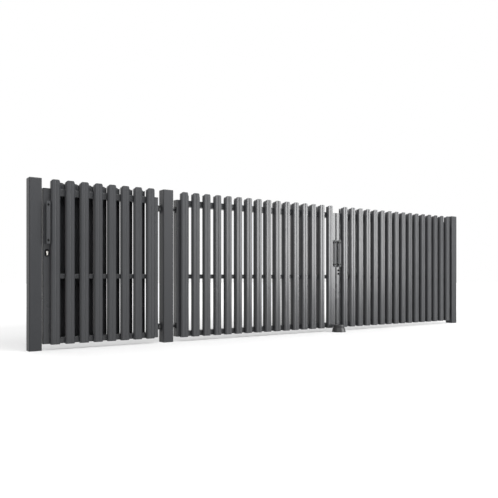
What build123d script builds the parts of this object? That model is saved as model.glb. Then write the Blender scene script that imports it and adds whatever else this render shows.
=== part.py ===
"""Steel picket gate set: a wicket and a double-leaf drive gate hung between three square posts.

Millimetres. X runs along the gate, +Y into the property, Z up. The origin is the centre of the
middle post's foot at ground level. The street side faces -Y.
"""
import os

from build123d import *

os.makedirs("parts", exist_ok=True)

# Posts: square tube, set in the ground, closed by a flat cap.
post_side = 100.0
post_wall = 4.0
post_corner = 8.0
post_height = 1382.0
foot_thick = 8.0
cap_thick = 8.0
cap_edge = 2.0
cap_skirt = 18.0
cap_skirt_wall = 3.0
cap_hollow_corner = 0.8
cap_fit = 0.5

# Clear openings between the posts.
wicket_opening = 1068.0
gate_opening = 4000.0

# Leaf frames: rectangular tube, centred on the posts. The drive leaves hang a little lower.
frame_depth = 72.0
stile_face = 60.0
tube_wall = 3.0
tube_corner = 4.0
top_rail_height = 58.0
middle_rail_height = 40.0
bottom_rail_height = 50.0
middle_rail_centre = 600.0
frame_bottom = 50.0
gate_drop = 6.0

# Gaps around the leaves.
wicket_hinge_gap = 46.0
gate_hinge_gap = 40.0
lock_gap = 12.0
meeting_gap = 12.0

# Pickets: roll-formed channels with folded shoulders, a groove and round top corners.
picket_width = 74.0
picket_depth = 38.0
picket_sheet = 2.0
shoulder_fold = 10.0
groove_width = 9.0
groove_depth = 2.5
picket_top_radius = 20.0
picket_below_post = 6.0
picket_rise = 70.0
picket_overhang = 4.0
wicket_picket_count = 8
wicket_lock_margin = 54.0
wicket_hinge_margin = 48.0
gate_picket_count = 16
gate_hinge_margin = 30.0
gate_meeting_margin = 66.0

# The inner row lies nearer the hinges than the middle of the outer row's gaps, by this much.
wicket_inner_shift = 9.5
gate_inner_shift = 2.0

# Hinges: a forked bracket and pin on the post, an eye with a lock nut on the leaf.
hinge_heights = (142.0, 1220.0)
hinge_axis_y = 22.0
pin_radius = 6.0
pin_clearance = 0.05
pin_head_radius = 9.0
pin_head_height = 5.0
pin_tail = 6.0
eye_radius = 12.0
eye_height = 26.0
fork_gap = 1.0
fork_thick = 10.0
bracket_plate_thick = 4.0
bracket_plate_width = 30.0
bracket_plate_height = 84.0
bracket_corner = 4.0
lock_nut_flats = 20.0
lock_nut_seat = 3.0

# Pull handles: flat bar on two round spacers.
handle_width = 32.0
handle_thick = 12.0
handle_end_radius = 5.0
handle_edge = 2.0
spacer_radius = 8.0
wicket_handle_length = 346.0
wicket_handle_centres = 286.0
wicket_handle_height = 1033.0
wicket_handle_reach = 34.0
gate_handle_length = 296.0
gate_handle_centres = 242.0
gate_handle_height = 857.0
gate_handle_reach = 20.0

# Locks, placed below the handles.
escutcheon_width = 36.0
escutcheon_height = 60.0
escutcheon_thick = 6.0
escutcheon_edge = 1.5
wicket_lock_drop = 70.0
cylinder_radius = 8.5
cylinder_tail_width = 10.0
cylinder_tail = 24.0
cylinder_depth = 9.0
keyway_width = 2.4
keyway_height = 8.0
keyway_depth = 4.0
cylinder_fit = 0.3
gate_lock_drop = 38.0
gate_lock_pitch = 37.0
rosette_radius = 12.0
rosette_thick = 5.0
rosette_edge = 1.5
strike_width = 24.0
strike_height = 200.0
strike_thick = 2.0
strike_corner = 4.0
bolt_slot_width = 14.0
bolt_slot_height = 36.0
bolt_slot_pitch = 60.0

# Ground stop: a round buffer on a tapered foot, in front of the left leaf's last picket and stile.
stop_foot_radius = 76.0
stop_foot_height = 46.0
stop_foot_taper = 15.0
stop_foot_edge = 3.0
stop_neck_radius = 54.0
stop_neck_height = 3.0
stop_radius = 60.0
stop_height = 31.0
stop_round = 7.0
stop_stand_off = 68.0
stop_from_meeting_edge = 50.0

# Positions that follow from the sizes above.
left_post_x = -(wicket_opening + post_side)
right_post_x = gate_opening + post_side
post_half = post_side / 2
picket_top = post_height + cap_thick - picket_below_post
frame_top = picket_top - picket_rise
picket_bottom = frame_bottom - picket_overhang
frame_front = -frame_depth / 2
wicket_lock_edge = left_post_x + post_half + lock_gap
wicket_hinge_edge = -post_half - wicket_hinge_gap
gate_centre_x = post_half + gate_opening / 2
left_hinge_edge = post_half + gate_hinge_gap
left_meeting_edge = gate_centre_x - meeting_gap / 2
right_meeting_edge = gate_centre_x + meeting_gap / 2
right_hinge_edge = right_post_x - post_half - gate_hinge_gap
wicket_stile_x = wicket_lock_edge + stile_face / 2
left_stile_x = left_meeting_edge - stile_face / 2
right_stile_x = right_meeting_edge + stile_face / 2
wicket_lock_height = wicket_handle_height - wicket_handle_length / 2 - wicket_lock_drop
gate_lock_top = gate_handle_height - gate_handle_length / 2 - gate_lock_drop
gate_lock_heights = (gate_lock_top, gate_lock_top - gate_lock_pitch)


def save(shape, name):
    """Write one piece, or one set of like pieces, to its own file."""
    shape.label = name
    export_step(shape, f"parts/{name}.step")


def make_post(centre_x, name):
    """Square tube with a plate across its foot."""
    with BuildPart() as post:
        with BuildSketch(Plane.XY):
            with Locations((centre_x, 0)):
                RectangleRounded(post_side, post_side, post_corner)
        extrude(amount=post_height)
        with BuildSketch(Plane.XY.offset(foot_thick)):
            with Locations((centre_x, 0)):
                bore = post_side - 2 * post_wall
                RectangleRounded(bore, bore, post_corner - post_wall)
        extrude(amount=post_height - foot_thick, mode=Mode.SUBTRACT)
    save(post.part, name)


def make_cap(centre_x, name):
    """Flat cap with eased edges and a skirt that plugs the tube."""
    with BuildPart() as cap:
        with BuildSketch(Plane.XY.offset(post_height)):
            with Locations((centre_x, 0)):
                RectangleRounded(post_side, post_side, post_corner)
        extrude(amount=cap_thick)
        chamfer(cap.faces().sort_by(Axis.Z)[-1].edges(), length=cap_edge)
        plug = post_side - 2 * post_wall - 2 * cap_fit
        with BuildSketch(Plane.XY.offset(post_height)):
            with Locations((centre_x, 0)):
                RectangleRounded(plug, plug, post_corner - post_wall)
                hollow = plug - 2 * cap_skirt_wall
                RectangleRounded(hollow, hollow, cap_hollow_corner, mode=Mode.SUBTRACT)
        extrude(amount=-cap_skirt)
    save(cap.part, name)


def make_stile(edge_x, inward, drop, name):
    """Upright tube of a leaf frame, closed at its top end and open to drain at its foot."""
    centre_x = edge_x + inward * stile_face / 2
    with BuildPart() as stile:
        with BuildSketch(Plane.XY.offset(frame_bottom - drop)):
            with Locations((centre_x, 0)):
                RectangleRounded(stile_face, frame_depth, tube_corner)
        extrude(amount=frame_top - frame_bottom)
        with BuildSketch(Plane.XY.offset(frame_bottom - drop)):
            with Locations((centre_x, 0)):
                inside = (stile_face - 2 * tube_wall, frame_depth - 2 * tube_wall)
                RectangleRounded(*inside, tube_corner - tube_wall)
        extrude(amount=frame_top - frame_bottom - tube_wall, mode=Mode.SUBTRACT)
    save(stile.part, name)


def make_rail(start_x, end_x, centre_z, height, name):
    """Cross tube butted between the two stiles."""
    with BuildPart() as rail:
        with BuildSketch(Plane.YZ.offset(start_x)):
            with Locations((0, centre_z)):
                RectangleRounded(frame_depth, height, tube_corner)
                inside = (frame_depth - 2 * tube_wall, height - 2 * tube_wall)
                RectangleRounded(*inside, tube_corner - tube_wall, mode=Mode.SUBTRACT)
        extrude(amount=end_x - start_x)
    save(rail.part, name)


def make_frame(left_edge, right_edge, left_name, right_name, leaf, drop):
    """Two stiles and three rails."""
    make_stile(left_edge, 1, drop, f"{leaf}_{left_name}")
    make_stile(right_edge, -1, drop, f"{leaf}_{right_name}")
    start_x = left_edge + stile_face
    end_x = right_edge - stile_face
    top_centre = frame_top - drop - top_rail_height / 2
    bottom_centre = frame_bottom - drop + bottom_rail_height / 2
    make_rail(start_x, end_x, top_centre, top_rail_height, f"{leaf}_top_rail")
    make_rail(start_x, end_x, middle_rail_centre, middle_rail_height, f"{leaf}_middle_rail")
    make_rail(start_x, end_x, bottom_centre, bottom_rail_height, f"{leaf}_bottom_rail")


def picket_solid():
    """One picket at the origin: its open back lies on Y = 0 and its crown faces -Y."""
    half = picket_width / 2
    crown = -picket_depth
    flat = half - shoulder_fold
    inner_half = half - picket_sheet
    inner_crown = crown + picket_sheet + groove_depth
    inner_flat = flat - picket_sheet / 2
    shoulder_y = crown + shoulder_fold
    length = picket_top - picket_bottom
    with BuildPart() as picket:
        with BuildSketch(Plane.XY.offset(picket_bottom)):
            with BuildLine():
                Line((-half, 0), (-half, shoulder_y))
                Line((-half, shoulder_y), (-flat, crown))
                Line((-flat, crown), (-groove_width / 2, crown))
                Line((-groove_width / 2, crown), (0, crown + groove_depth))
                Line((0, crown + groove_depth), (groove_width / 2, crown))
                Line((groove_width / 2, crown), (flat, crown))
                Line((flat, crown), (half, shoulder_y))
                Line((half, shoulder_y), (half, 0))
                Line((half, 0), (inner_half, 0))
                Line((inner_half, 0), (inner_half, shoulder_y))
                Line((inner_half, shoulder_y), (inner_flat, inner_crown))
                Line((inner_flat, inner_crown), (-inner_flat, inner_crown))
                Line((-inner_flat, inner_crown), (-inner_half, shoulder_y))
                Line((-inner_half, shoulder_y), (-inner_half, 0))
                Line((-inner_half, 0), (-half, 0))
            make_face()
        extrude(amount=length)
        with BuildSketch(Plane.XZ) as outline:
            with Locations((0, picket_bottom + length / 2)):
                Rectangle(picket_width, length)
            fillet(outline.vertices().group_by(Axis.Y)[-1], radius=picket_top_radius)
        extrude(amount=picket_depth, mode=Mode.INTERSECT)
    return picket.part


picket = picket_solid()


def make_pickets(first_x, pitch, count, inner_shift, leaf, drop):
    """A row on the street side and a row on the inside behind the first row's gaps."""
    with BuildPart() as front_row:
        with Locations(*[(first_x + pitch * i, frame_front, -drop) for i in range(count)]):
            add(picket)
    save(front_row.part, f"{leaf}_front_pickets")
    with BuildPart() as back_row:
        first_back = first_x + pitch / 2 + inner_shift
        spots = [(first_back + pitch * i, -frame_front, -drop) for i in range(count - 1)]
        with Locations(*[Location(spot, (0, 0, 180)) for spot in spots]):
            add(picket)
    save(back_row.part, f"{leaf}_back_pickets")


def make_hinges(post_face_x, outward, gap, leaf):
    """Fork and pin on the post, eye and lock nut on the leaf, at both hinge heights."""
    axis_x = post_face_x + outward * gap / 2
    leaf_edge = post_face_x + outward * gap
    slot_height = eye_height + 2 * fork_gap
    fork_height = slot_height + 2 * fork_thick
    with BuildPart() as brackets:
        for level in hinge_heights:
            with BuildSketch(Plane.YZ.offset(post_face_x)):
                with Locations((hinge_axis_y, level)):
                    RectangleRounded(bracket_plate_width, bracket_plate_height, bracket_corner)
            extrude(amount=outward * bracket_plate_thick)
            with BuildSketch(Plane.XY.offset(level - fork_height / 2)):
                with Locations((axis_x, hinge_axis_y)):
                    Circle(eye_radius)
                with Locations(((post_face_x + axis_x) / 2, hinge_axis_y)):
                    Rectangle(gap / 2, 2 * eye_radius)
            extrude(amount=fork_height)
            with BuildSketch(Plane.XY.offset(level - slot_height / 2)):
                with Locations((axis_x, hinge_axis_y)):
                    slot_reach = gap - 2 * bracket_plate_thick
                    Rectangle(slot_reach, 4 * eye_radius)
            extrude(amount=slot_height, mode=Mode.SUBTRACT)
            with BuildSketch(Plane.XY.offset(level - fork_height / 2)):
                with Locations((axis_x, hinge_axis_y)):
                    Circle(pin_radius)
            extrude(amount=fork_height, mode=Mode.SUBTRACT)
    save(brackets.part, f"{leaf}_hinge_brackets")
    with BuildPart() as pins:
        for level in hinge_heights:
            with BuildSketch(Plane.XY.offset(level - fork_height / 2 - pin_tail)):
                with Locations((axis_x, hinge_axis_y)):
                    Circle(pin_radius)
            extrude(amount=fork_height + pin_tail)
            with BuildSketch(Plane.XY.offset(level + fork_height / 2)):
                with Locations((axis_x, hinge_axis_y)):
                    Circle(pin_head_radius)
            extrude(amount=pin_head_height)
    save(pins.part, f"{leaf}_hinge_pins")
    nut_length = gap / 2 - eye_radius + lock_nut_seat
    with BuildPart() as eyes:
        for level in hinge_heights:
            with BuildSketch(Plane.XY.offset(level - eye_height / 2)):
                with Locations((axis_x, hinge_axis_y)):
                    Circle(eye_radius)
            extrude(amount=eye_height)
            with BuildSketch(Plane.YZ.offset(leaf_edge)):
                with Locations((hinge_axis_y, level)):
                    RegularPolygon(lock_nut_flats / 2, 6, major_radius=False)
            extrude(amount=-outward * nut_length)
            with BuildSketch(Plane.XY.offset(level - eye_height / 2)):
                with Locations((axis_x, hinge_axis_y)):
                    Circle(pin_radius + pin_clearance)
            extrude(amount=eye_height, mode=Mode.SUBTRACT)
    save(eyes.part, f"{leaf}_hinge_eyes")


def make_handle(centre_x, centre_z, length, centres, reach, name):
    """Flat bar with eased edges held off the stile on two spacers."""
    bar_back = frame_front - reach
    with BuildPart() as handle:
        with BuildSketch(Plane.XZ.offset(-bar_back)):
            with Locations((centre_x, centre_z)):
                RectangleRounded(handle_width, length, handle_end_radius)
        extrude(amount=handle_thick)
        chamfer(handle.faces().sort_by(Axis.Y)[0].edges(), length=handle_edge)
        with BuildSketch(Plane.XZ.offset(-frame_front)):
            with Locations((centre_x, centre_z - centres / 2), (centre_x, centre_z + centres / 2)):
                Circle(spacer_radius)
        extrude(amount=reach)
    save(handle.part, name)


# Posts and caps.
make_post(left_post_x, "left_post")
make_post(0, "middle_post")
make_post(right_post_x, "right_post")
make_cap(left_post_x, "left_post_cap")
make_cap(0, "middle_post_cap")
make_cap(right_post_x, "right_post_cap")

# Wicket leaf, hung on the middle post.
make_frame(wicket_lock_edge, wicket_hinge_edge, "lock_stile", "hinge_stile", "wicket", 0)
wicket_first = wicket_lock_edge + wicket_lock_margin + picket_width / 2
wicket_last = wicket_hinge_edge - wicket_hinge_margin - picket_width / 2
wicket_pitch = (wicket_last - wicket_first) / (wicket_picket_count - 1)
make_pickets(wicket_first, wicket_pitch, wicket_picket_count, wicket_inner_shift, "wicket", 0)
make_hinges(-post_half, -1, wicket_hinge_gap, "wicket")
make_handle(wicket_stile_x, wicket_handle_height, wicket_handle_length,
            wicket_handle_centres, wicket_handle_reach, "wicket_pull_handle")

# Drive gate leaves: the right one mirrors the left about the middle of the opening.
gate_span = left_meeting_edge - left_hinge_edge - gate_hinge_margin - gate_meeting_margin
gate_pitch = (gate_span - picket_width) / (gate_picket_count - 1)
make_frame(left_hinge_edge, left_meeting_edge, "hinge_stile", "meeting_stile", "left_leaf", gate_drop)
left_first = left_hinge_edge + gate_hinge_margin + picket_width / 2
make_pickets(left_first, gate_pitch, gate_picket_count, -gate_inner_shift, "left_leaf", gate_drop)
make_hinges(post_half, 1, gate_hinge_gap, "left_leaf")
make_handle(left_stile_x, gate_handle_height, gate_handle_length,
            gate_handle_centres, gate_handle_reach, "left_leaf_pull_handle")
make_frame(right_meeting_edge, right_hinge_edge, "meeting_stile", "hinge_stile", "right_leaf", gate_drop)
right_first = right_meeting_edge + gate_meeting_margin + picket_width / 2
make_pickets(right_first, gate_pitch, gate_picket_count, gate_inner_shift, "right_leaf", gate_drop)
make_hinges(right_post_x - post_half, -1, gate_hinge_gap, "right_leaf")
make_handle(right_stile_x, gate_handle_height, gate_handle_length,
            gate_handle_centres, gate_handle_reach, "right_leaf_pull_handle")

# Wicket lock: oval plate with a profile cylinder through it.
cylinder_top = wicket_lock_height + cylinder_radius / 2
cylinder_tail_centre = cylinder_top - cylinder_tail / 2
with BuildPart() as lock_plate:
    with BuildSketch(Plane.XZ.offset(-frame_front)):
        with Locations((wicket_stile_x, wicket_lock_height)):
            SlotOverall(escutcheon_height, escutcheon_width, rotation=90)
    extrude(amount=escutcheon_thick)
    chamfer(lock_plate.faces().sort_by(Axis.Y)[0].edges(), length=escutcheon_edge)
    with BuildSketch(Plane.XZ.offset(-frame_front)):
        with Locations((wicket_stile_x, cylinder_top)):
            Circle(cylinder_radius + cylinder_fit)
        with Locations((wicket_stile_x, cylinder_tail_centre)):
            Rectangle(cylinder_tail_width + 2 * cylinder_fit, cylinder_tail + 2 * cylinder_fit)
    extrude(amount=escutcheon_thick, mode=Mode.SUBTRACT)
save(lock_plate.part, "wicket_lock_plate")

with BuildPart() as lock_cylinder:
    with BuildSketch(Plane.XZ.offset(-frame_front)):
        with Locations((wicket_stile_x, cylinder_top)):
            Circle(cylinder_radius)
        with Locations((wicket_stile_x, cylinder_tail_centre)):
            Rectangle(cylinder_tail_width, cylinder_tail)
    extrude(amount=cylinder_depth)
    with BuildSketch(Plane.XZ.offset(-frame_front + cylinder_depth)):
        with Locations((wicket_stile_x, cylinder_top)):
            Rectangle(keyway_width, keyway_height)
    extrude(amount=-keyway_depth, mode=Mode.SUBTRACT)
save(lock_cylinder.part, "wicket_lock_cylinder")

# Drive gate lock: two round fittings on the right leaf's meeting stile.
with BuildPart() as gate_lock:
    for level in gate_lock_heights:
        with BuildSketch(Plane.XZ.offset(-frame_front)):
            with Locations((right_stile_x, level)):
                Circle(rosette_radius)
        extrude(amount=rosette_thick)
    crowns = gate_lock.faces().filter_by(Plane.XZ).group_by(Axis.Y)[0]
    chamfer(crowns.edges(), length=rosette_edge)
    for level in gate_lock_heights:
        with BuildSketch(Plane.XZ.offset(-frame_front + rosette_thick)):
            with Locations((right_stile_x, level)):
                Rectangle(keyway_width, keyway_height)
        extrude(amount=-keyway_depth, mode=Mode.SUBTRACT)
save(gate_lock.part, "right_leaf_lock_cylinders")

# Strike plate on the left post, facing the wicket's lock, with two bolt slots.
with BuildPart() as strike_plate:
    with BuildSketch(Plane.YZ.offset(left_post_x + post_half)):
        with Locations((0, wicket_lock_height)):
            RectangleRounded(strike_width, strike_height, strike_corner)
            with GridLocations(0, bolt_slot_pitch, 1, 2):
                Rectangle(bolt_slot_width, bolt_slot_height, mode=Mode.SUBTRACT)
    extrude(amount=strike_thick)
save(strike_plate.part, "wicket_strike_plate")

# Ground stop: the tapered foot on the ground, then the buffer on its neck.
stop_x = left_meeting_edge - stop_from_meeting_edge
stop_y = frame_front - picket_depth - stop_stand_off
stop_neck_top = stop_foot_height + stop_neck_height
with BuildPart() as stop_foot:
    with BuildSketch(Plane.XY):
        with Locations((stop_x, stop_y)):
            Circle(stop_foot_radius)
    extrude(amount=stop_foot_height, taper=stop_foot_taper)
    fillet(stop_foot.faces().sort_by(Axis.Z)[-1].edges(), radius=stop_foot_edge)
save(stop_foot.part, "ground_stop_plate")

with BuildPart() as stop_buffer:
    with BuildSketch(Plane.XY.offset(stop_neck_top)):
        with Locations((stop_x, stop_y)):
            Circle(stop_radius)
    extrude(amount=stop_height)
    fillet(stop_buffer.faces().sort_by(Axis.Z)[-1].edges(), radius=stop_round)
    with BuildSketch(Plane.XY.offset(stop_foot_height)):
        with Locations((stop_x, stop_y)):
            Circle(stop_neck_radius)
    extrude(amount=stop_neck_height)
save(stop_buffer.part, "ground_stop")
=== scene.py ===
import math

import bmesh
import bpy
from mathutils import Matrix, Vector


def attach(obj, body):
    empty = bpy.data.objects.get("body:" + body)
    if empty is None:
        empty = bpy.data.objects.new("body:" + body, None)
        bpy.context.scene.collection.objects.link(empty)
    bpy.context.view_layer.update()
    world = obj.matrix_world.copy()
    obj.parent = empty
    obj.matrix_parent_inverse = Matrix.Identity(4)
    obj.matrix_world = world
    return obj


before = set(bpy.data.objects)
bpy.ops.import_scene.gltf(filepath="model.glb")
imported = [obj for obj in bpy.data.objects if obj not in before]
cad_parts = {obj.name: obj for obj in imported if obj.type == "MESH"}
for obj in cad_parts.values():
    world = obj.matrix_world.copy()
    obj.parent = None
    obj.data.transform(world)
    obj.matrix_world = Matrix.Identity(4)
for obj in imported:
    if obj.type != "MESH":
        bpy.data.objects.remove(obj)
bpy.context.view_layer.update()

# Posts: square steel tube set in the ground and powder coated in anthracite. The coat is even in
# colour but low in gloss, so that their sides don't mirror the bright wall, with a fine orange peel.


def linear(hex_colour):
    """sRGB hex to the linear colour that a shader takes."""
    channels = [int(hex_colour[i:i + 2], 16) / 255 for i in (1, 3, 5)]
    return tuple(c / 12.92 if c <= 0.04045 else ((c + 0.055) / 1.055) ** 2.4 for c in channels) + (1.0,)


def add_node(tree, kind, settings=None, **links):
    """One node: settings by attribute or socket, links by socket name."""
    node = tree.nodes.new(kind)
    for name, value in (settings or {}).items():
        if name in node.inputs:
            node.inputs[name].default_value = value
        else:
            setattr(node, name, value)
    for name, source in links.items():
        tree.links.new(source, node.inputs[name.replace("_", " ")])
    return node


def new_material(name):
    """A material with an empty tree, its output and its shader."""
    material = bpy.data.materials.new(name)
    material.use_nodes = True
    tree = material.node_tree
    tree.nodes.clear()
    output = tree.nodes.new("ShaderNodeOutputMaterial")
    shader = tree.nodes.new("ShaderNodeBsdfPrincipled")
    tree.links.new(shader.outputs["BSDF"], output.inputs["Surface"])
    return material, tree, shader


def powder_coat(name, colour, dusty, rough_low, rough_high, peel_mm, peel_depth_mm, shine=0.5):
    """Baked powder: a fine orange peel of peel_mm and a slow drift in gloss and tone."""
    material, tree, shader = new_material(name)
    place = add_node(tree, "ShaderNodeTexCoord").outputs["Object"]
    drift_mm = 450
    cloud = add_node(tree, "ShaderNodeTexNoise", {"Scale": 1000 / drift_mm, "Detail": 3.0}, Vector=place)
    tone = add_node(tree, "ShaderNodeMix", {"data_type": "RGBA"}, Factor=cloud.outputs["Fac"])
    tone.inputs[6].default_value = linear(colour)
    tone.inputs[7].default_value = linear(dusty)
    tree.links.new(tone.outputs[2], shader.inputs["Base Color"])
    gloss = add_node(tree, "ShaderNodeMapRange", {"To Min": rough_low, "To Max": rough_high},
                     Value=cloud.outputs["Fac"])
    tree.links.new(gloss.outputs["Result"], shader.inputs["Roughness"])
    peel = add_node(tree, "ShaderNodeTexNoise", {"Scale": 1000 / peel_mm, "Detail": 2.0}, Vector=place)
    bump = add_node(tree, "ShaderNodeBump", {"Strength": 0.35, "Distance": peel_depth_mm / 1000},
                    Height=peel.outputs["Fac"])
    tree.links.new(bump.outputs["Normal"], shader.inputs["Normal"])
    shader.inputs["IOR"].default_value = 1.45
    shader.inputs["Specular IOR Level"].default_value = shine
    return material


def dress(material, *nodes):
    """Give CAD nodes their finish."""
    for node in nodes:
        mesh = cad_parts[node].data
        mesh.materials.clear()
        mesh.materials.append(material)


post_coat = powder_coat("low_gloss_anthracite_post_coat", "#2C2D2F", "#313234", 0.46, 0.54, 4.0, 0.06, 0.3)
dress(post_coat, "left_post", "middle_post", "right_post")

# Post caps: moulded flat caps pushed into the tube. Their plastic is a little darker and duller
# than the coat, which leaves a thin dark line along the top of each post.
cap_plastic = powder_coat("moulded_cap_plastic", "#2D2E30", "#333436", 0.5, 0.6, 1.5, 0.04)
dress(cap_plastic, "left_post_cap", "middle_post_cap", "right_post_cap")

# Leaf frames: rectangular steel tube, two stiles and three rails in each leaf, welded at the corners.
# They are a shade lighter than the posts, with a satin gloss that carries the soft box's highlight.
tube_coat = powder_coat("satin_anthracite_powder_coat", "#303133", "#353638", 0.24, 0.30, 4.0, 0.06)
leaves = ("wicket", "left_leaf", "right_leaf")
for leaf in leaves:
    stiles = [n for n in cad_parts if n.startswith(leaf + "_") and n.endswith("_stile")]
    rails = [leaf + "_" + level + "_rail" for level in ("top", "middle", "bottom")]
    dress(tube_coat, *stiles, *rails)

# Pickets: roll-formed sheet steel channels. They share the frames' colour, in a slightly softer gloss
# and with a finer peel, so the studio light runs out more gently along the rows.
sheet_coat = powder_coat("soft_satin_picket_coat", "#303133", "#353638", 0.26, 0.32, 3.0, 0.05)
for leaf in leaves:
    dress(sheet_coat, leaf + "_front_pickets", leaf + "_back_pickets")

# Hinges: a forked bracket bolted to the post, a plated pin, and an eye with a lock nut on the leaf.
# Fork and eye are steel with a dark coat, and two hex bolts with washers hold each bracket's plate.
hinge_coat = powder_coat("dark_coated_hinge_steel", "#333436", "#3A3B3D", 0.44, 0.54, 2.0, 0.06)
for leaf in leaves:
    dress(hinge_coat, leaf + "_hinge_brackets", leaf + "_hinge_eyes")


def plated_metal(name, colour, rough, grain_mm):
    """Plated steel or nickel: metallic, with drawn lines that spread the highlight.

    The lines are coarser than real ones, so that they show.
    """
    material, tree, shader = new_material(name)
    place = add_node(tree, "ShaderNodeTexCoord").outputs["Object"]
    stretch = add_node(tree, "ShaderNodeMapping", {"Scale": (1.0, 1.0, 0.08)}, Vector=place)
    grain = add_node(tree, "ShaderNodeTexNoise", {"Scale": 1000 / grain_mm, "Detail": 3.0},
                     Vector=stretch.outputs["Vector"])
    gloss = add_node(tree, "ShaderNodeMapRange", {"To Min": rough - 0.06, "To Max": rough + 0.06},
                     Value=grain.outputs["Fac"])
    tree.links.new(gloss.outputs["Result"], shader.inputs["Roughness"])
    shader.inputs["Base Color"].default_value = linear(colour)
    shader.inputs["Metallic"].default_value = 1.0
    return material


zinc = plated_metal("zinc_plated_steel", "#8C8E90", 0.38, 1.2)
for leaf in leaves:
    dress(zinc, leaf + "_hinge_pins")


def ring(bm, count, radius, height, place):
    """One closed loop of edges, set out in the fastener's own frame."""
    level = place @ Matrix.Translation((0, 0, height))
    made = bmesh.ops.create_circle(bm, segments=count, radius=radius, matrix=level)
    return list({edge for vert in made["verts"] for edge in vert.link_edges})


def skin(bm, loops):
    """Bridge each loop to the next one and close the last."""
    for lower, upper in zip(loops, loops[1:]):
        bmesh.ops.bridge_loops(bm, edges=lower + upper)
    bmesh.ops.contextual_create(bm, geom=loops[-1])


def fixings(name, spots, outward, shape, material, body):
    """One piece that holds a set of like fasteners, each on its spot and facing outward."""
    bm = bmesh.new()
    turn = Vector(outward).to_track_quat("Z", "Y").to_matrix().to_4x4()
    for spot in spots:
        shape(bm, Matrix.Translation(spot) @ turn)
    bmesh.ops.recalc_face_normals(bm, faces=bm.faces)
    mesh = bpy.data.meshes.new(name)
    bm.to_mesh(mesh)
    bm.free()
    mesh.materials.append(material)
    piece = bpy.data.objects.new(name, mesh)
    bpy.context.scene.collection.objects.link(piece)
    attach(piece, body)


def hex_bolt(bm, place):
    """M6 hex head on a washer: flats 10 mm apart, head 3 mm, washer 12 mm across."""
    washer_radius, washer_side, washer_top, washer_bevel = 0.0060, 0.0010, 0.0013, 0.0004
    head_radius, head_side, head_top, head_bevel = 0.0058, 0.0037, 0.0043, 0.0008
    skin(bm, [ring(bm, 24, washer_radius, 0.0, place),
              ring(bm, 24, washer_radius, washer_side, place),
              ring(bm, 24, washer_radius - washer_bevel, washer_top, place)])
    skin(bm, [ring(bm, 6, head_radius, washer_side, place),
              ring(bm, 6, head_radius, head_side, place),
              ring(bm, 6, head_radius - head_bevel, head_top, place)])


hinge_axis_y = 0.022
hinge_levels = (0.142, 1.220)
bolt_rise = 0.033
bolt_levels = [level + rise for level in hinge_levels for rise in (-bolt_rise, bolt_rise)]
plate_faces = {"wicket": (-0.054, -1), "left_leaf": (0.054, 1), "right_leaf": (4.046, -1)}
for leaf, (face_x, side) in plate_faces.items():
    bolt_spots = [(face_x, hinge_axis_y, level) for level in bolt_levels]
    fixings(leaf + "_hinge_bolts", bolt_spots, (side, 0, 0), hex_bolt, zinc, "posts")

# Pull handles: flat steel bar on round spacers, coated like the frame but with a matt powder that
# takes less of the studio light. Two sunk socket screws go through each bar into its spacers.
bar_coat = powder_coat("matt_anthracite_handle_coat", "#2E2F31", "#343537", 0.42, 0.50, 1.8, 0.05, 0.35)
for leaf in leaves:
    dress(bar_coat, leaf + "_pull_handle")
screw_steel = powder_coat("black_oxide_screw_steel", "#060606", "#0A0A0B", 0.55, 0.65, 0.8, 0.02, 0.1)


def socket_screw(bm, place):
    """Sunk M10 screw: a head 18 mm across with its rim just proud and a 6 mm hexagon socket."""
    head_radius, rim_side, rim_top, rim_bevel = 0.0090, 0.0004, 0.0008, 0.0007
    socket_radius, socket_floor, socket_taper = 0.0036, 0.0001, 0.0002
    skin(bm, [ring(bm, 24, head_radius, 0.0, place),
              ring(bm, 24, head_radius, rim_side, place),
              ring(bm, 24, head_radius - rim_bevel, rim_top, place),
              ring(bm, 6, socket_radius, rim_top, place),
              ring(bm, 6, socket_radius - socket_taper, socket_floor, place)])


handle_screws = {"wicket_leaf": (-1.076, -0.082, 1.033, 0.143),
                 "left_leaf": (2.014, -0.068, 0.857, 0.121),
                 "right_leaf": (2.086, -0.068, 0.857, 0.121)}
for body, (screw_x, bar_face, middle, half_centres) in handle_screws.items():
    screw_spots = [(screw_x, bar_face, middle + half) for half in (-half_centres, half_centres)]
    fixings(body + "_handle_screws", screw_spots, (0, -1, 0), socket_screw, screw_steel, body)

# Locks: an oval plate in matt black with a nickel profile cylinder on the wicket, two black round
# fittings on the drive gate, and a plated strike plate screwed to the left post.
lock_coat = powder_coat("matt_black_lock_coat", "#060607", "#0A0A0B", 0.60, 0.70, 1.2, 0.04, 0.1)
dress(lock_coat, "wicket_lock_plate", "right_leaf_lock_cylinders")
nickel = plated_metal("satin_nickel", "#DEDBD5", 0.40, 0.8)
dress(nickel, "wicket_lock_cylinder")
dress(zinc, "wicket_strike_plate")
strike_face_x, lock_level, strike_screw_rise = -1.116, 0.790, 0.086
strike_levels = (lock_level - strike_screw_rise, lock_level + strike_screw_rise)
strike_spots = [(strike_face_x, 0.0, level) for level in strike_levels]
fixings("strike_plate_screws", strike_spots, (1, 0, 0), socket_screw, zinc, "posts")

# Ground stop: a round buffer seated on a tapered foot that stands on the ground. Both are steel with
# a half-matt black coat, whose gloss varies more than the gate's.
stop_coat = powder_coat("black_stop_coat", "#262627", "#2E2E2F", 0.34, 0.46, 2.4, 0.08)
dress(stop_coat, "ground_stop", "ground_stop_plate")

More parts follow.
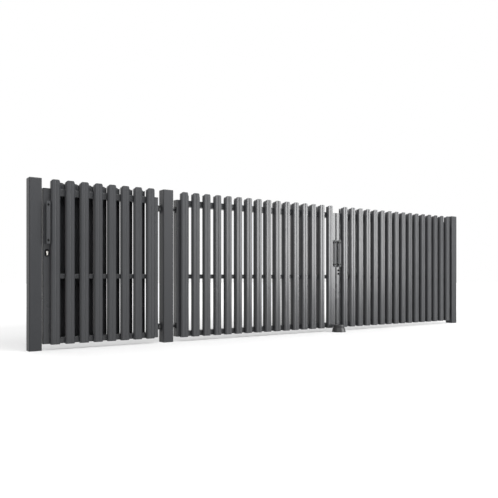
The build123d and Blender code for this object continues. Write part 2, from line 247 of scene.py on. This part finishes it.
# Floor: a plain pale studio floor in matt paint that takes the gate's shadow.
# It glows a little for the eye and for reflections, more so further out, where it meets the white wall.
floor_half = 60.0
floor_mesh = bpy.data.meshes.new("studio_floor")
bm = bmesh.new()
bmesh.ops.create_grid(bm, x_segments=1, y_segments=1, size=floor_half)
bm.to_mesh(floor_mesh)
bm.free()
floor = bpy.data.objects.new("studio_floor", floor_mesh)
bpy.context.scene.collection.objects.link(floor)
pale, pale_tree, pale_shader = new_material("pale_studio_floor")
pale_shader.inputs["Base Color"].default_value = linear("#B6B6B6")
pale_shader.inputs["Roughness"].default_value = 0.95
pale_shader.inputs["Specular IOR Level"].default_value = 0.1
rays = add_node(pale_tree, "ShaderNodeLightPath")
seen = add_node(pale_tree, "ShaderNodeMath", {"operation": "MAXIMUM"})
pale_tree.links.new(rays.outputs["Is Camera Ray"], seen.inputs[0])
pale_tree.links.new(rays.outputs["Is Glossy Ray"], seen.inputs[1])
shown = add_node(pale_tree, "ShaderNodeMath", {"operation": "MAXIMUM"})
pale_tree.links.new(seen.outputs[0], shown.inputs[0])
pale_tree.links.new(rays.outputs["Is Transmission Ray"], shown.inputs[1])
place = add_node(pale_tree, "ShaderNodeTexCoord").outputs["Object"]
apart = add_node(pale_tree, "ShaderNodeVectorMath", {"operation": "LENGTH"}, Vector=place)
glow = add_node(pale_tree, "ShaderNodeMapRange",
                {"From Min": 2.5, "From Max": 8.0, "To Min": 0.27, "To Max": 0.90},
                Value=apart.outputs["Value"])
lift = add_node(pale_tree, "ShaderNodeMath", {"operation": "MULTIPLY"})
pale_tree.links.new(shown.outputs[0], lift.inputs[0])
pale_tree.links.new(glow.outputs["Result"], lift.inputs[1])
pale_shader.inputs["Emission Color"].default_value = (1.0, 1.0, 1.0, 1.0)
pale_tree.links.new(lift.outputs[0], pale_shader.inputs["Emission Strength"])
floor_mesh.materials.append(pale)

# Studio: a white wall far behind the gate and a dimmer room in front of it. A broad lamp overhead
# lights the rows, the coat mirrors a soft box at the front right, and a rear lamp fills the back.
world = bpy.data.worlds.new("studio_room")
bpy.context.scene.world = world
world.use_nodes = True
room = world.node_tree
background = room.nodes["Background"]
background.inputs["Color"].default_value = (1.0, 1.0, 1.0, 1.0)
direction = add_node(room, "ShaderNodeTexCoord").outputs["Generated"]
heading = add_node(room, "ShaderNodeSeparateXYZ", Vector=direction)
wall = add_node(room, "ShaderNodeMapRange",
                {"From Min": 0.0, "From Max": 0.5, "To Min": 0.56, "To Max": 1.0},
                Value=heading.outputs["Y"])
room.links.new(wall.outputs["Result"], background.inputs["Strength"])


def area_lamp(name, place, target, width, height, watts):
    """A rectangular lamp that faces its target."""
    lamp = bpy.data.lights.new(name, "AREA")
    lamp.shape = "RECTANGLE"
    lamp.size = width
    lamp.size_y = height
    lamp.energy = watts
    holder = bpy.data.objects.new(name, lamp)
    bpy.context.scene.collection.objects.link(holder)
    holder.location = place
    holder.rotation_euler = (Vector(target) - Vector(place)).to_track_quat("-Z", "Y").to_euler()


area_lamp("overhead_key", (0.4, -2.3, 3.4), (0.4, 0.0, 0.8), 8.0, 2.0, 270.0)
area_lamp("front_right_soft_box", (5.6, -4.7, 1.62), (1.8, 0.0, 0.9), 3.2, 2.4, 340.0)
area_lamp("rear_fill", (0.6, 4.2, 3.8), (0.6, 0.6, 0.0), 10.0, 1.6, 150.0)

# Camera: level and low, left of the gate and looking along it to the right. Its place, focal length
# and horizon were fitted to the posts and the picket rows, the last two in pixels of the photograph.
photo_pixels = 498
focal_pixels = 577.2
horizon_below_centre = 29.2
camera = bpy.data.cameras.new("photo_camera")
camera.sensor_width = 36.0
camera.lens = focal_pixels / photo_pixels * camera.sensor_width
camera.shift_y = horizon_below_centre / photo_pixels
viewpoint = bpy.data.objects.new("photo_camera", camera)
bpy.context.scene.collection.objects.link(viewpoint)
viewpoint.location = (-2.3072, -4.8316, 0.5838)
viewpoint.rotation_euler = (math.radians(90), 0.0, math.radians(-33.69))
bpy.context.scene.camera = viewpoint
bpy.context.scene.view_settings.view_transform = "Standard"
